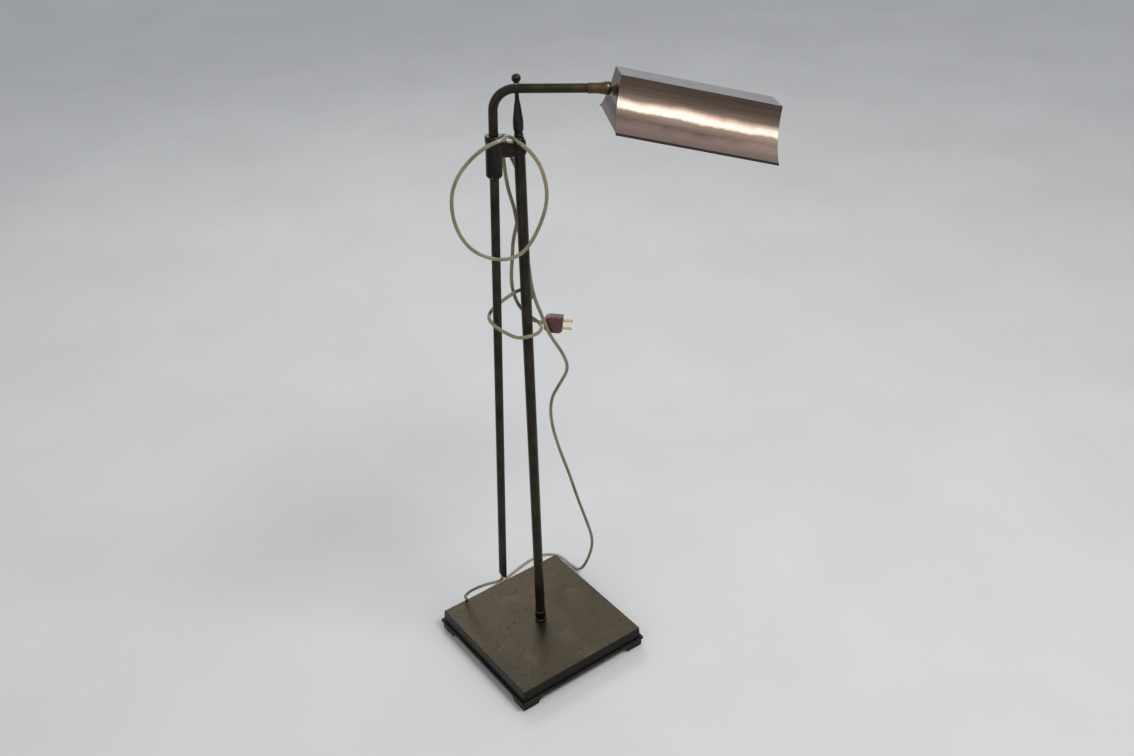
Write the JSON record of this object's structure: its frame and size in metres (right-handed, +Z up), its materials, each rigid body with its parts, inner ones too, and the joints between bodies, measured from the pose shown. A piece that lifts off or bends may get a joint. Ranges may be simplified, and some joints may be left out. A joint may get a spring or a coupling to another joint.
{
  "type": "floor lamp",
  "caption": "Adjustable bridge floor lamp: a square stepped base and post carry a sliding, swinging bent arm with a long flared metal shade on a ball swivel.",
  "frame": {"origin": "on the floor, under the middle of the base, on the axis of the post", "axes": "+Z up along the post; X and Y along the sides of the base; -X from the post towards the sleeve"},
  "size_m": [0.4295, 0.4441, 1.0137],
  "materials": {
    "dark_bronze_plate": "dark brown bronze, semi-gloss, mottled",
    "dark_bronze_edge": "near-black bronze, semi-gloss",
    "bronze_tube": "dark bronze plating, semi-gloss",
    "bronze_turned": "dark bronze plating, glossy, rubbed",
    "olive_brass": "antique brass, polished and darkened",
    "shade_bronze": "brushed bronze, satin",
    "brass": "satin",
    "plain_steel": "zinc plated",
    "cast_iron": "rough, black",
    "fibre": "vulcanised fibre",
    "phenolic": "moulded phenolic",
    "brown_bakelite": "moulded, semi-gloss",
    "gold_cord": "translucent vinyl, glossy",
    "felt": "wool felt"
  },
  "bodies": {
    "stand": {"base_cap": "dark_bronze_plate", "base_plate": "dark_bronze_edge", "bracket_feet": "dark_bronze_edge", "felt_pads": "felt", "foot_screws": "plain_steel", "base_weight": "cast_iron", "base_washer": "plain_steel", "base_nut": "plain_steel", "tie_rod": "plain_steel", "post_foot_collar": "bronze_turned", "post_tube": "bronze_tube", "post_bracket": "bronze_turned", "finial": "bronze_turned", "sleeve": "bronze_turned", "sleeve_gland": "bronze_turned", "cord_in_tube": "gold_cord", "cord_floor_run": "gold_cord", "cord_big_loop": "gold_cord", "cord_small_loop": "gold_cord", "plug_body": "brown_bakelite", "plug_blades": "brass"},
    "swing_bush": {"friction_bush": "fibre"},
    "arm": {"arm_tube": "bronze_tube", "lead_in_arm": "gold_cord", "ferrule": "olive_brass", "ball_retainer": "olive_brass", "disc_springs": "plain_steel", "ball_cup": "plain_steel"},
    "pan_liner": {"outer_liner": "fibre"},
    "nod_liner": {"inner_liner": "fibre"},
    "shade": {"swivel_ball": "olive_brass", "shade_washer": "olive_brass", "lock_nut": "plain_steel", "shade_shell": "shade_bronze", "end_plate_near": "shade_bronze", "end_plate_far": "shade_bronze", "holder_cap": "brass", "holder_shell": "brass", "holder_body": "phenolic", "screw_shell": "brass", "centre_contact": "brass"},
    "knob": {"switch_knob": "phenolic"}
  },
  "joints": [
    {"name": "arm_swing", "type": "hinge", "parent": "stand", "child": "swing_bush", "pos_m": [-0.0415, 0, 0.9], "axis": [0.0282, -0.019, 0.9994], "range_deg": [-300, 10]},
    {"name": "tube_height", "type": "slide", "parent": "swing_bush", "child": "arm", "axis": [0.0282, -0.019, 0.9994], "range_m": [0, 0.45]},
    {"name": "shade_pan", "type": "hinge", "parent": "arm", "child": "pan_liner", "pos_m": [0.08454, -0.08501, 0.98943], "axis": [0.0282, -0.019, 0.9994], "range_deg": [-20, 16]},
    {"name": "shade_tilt", "type": "hinge", "parent": "pan_liner", "child": "nod_liner", "pos_m": [0.08454, -0.08501, 0.98943], "axis": [0.5285, 0.849, 0.0012], "range_deg": [-30, 6]},
    {"name": "shade_roll", "type": "hinge", "parent": "nod_liner", "child": "shade", "pos_m": [0.08454, -0.08501, 0.98943], "axis": [0.8241, -0.5126, -0.2411], "range_deg": [-60, 60]},
    {"name": "switch_turn", "type": "hinge", "parent": "shade", "child": "knob", "pos_m": [0.11503, -0.10398, 0.98051], "axis": [-0.2537, 0.0465, -0.9662], "continuous": true}
  ]
}
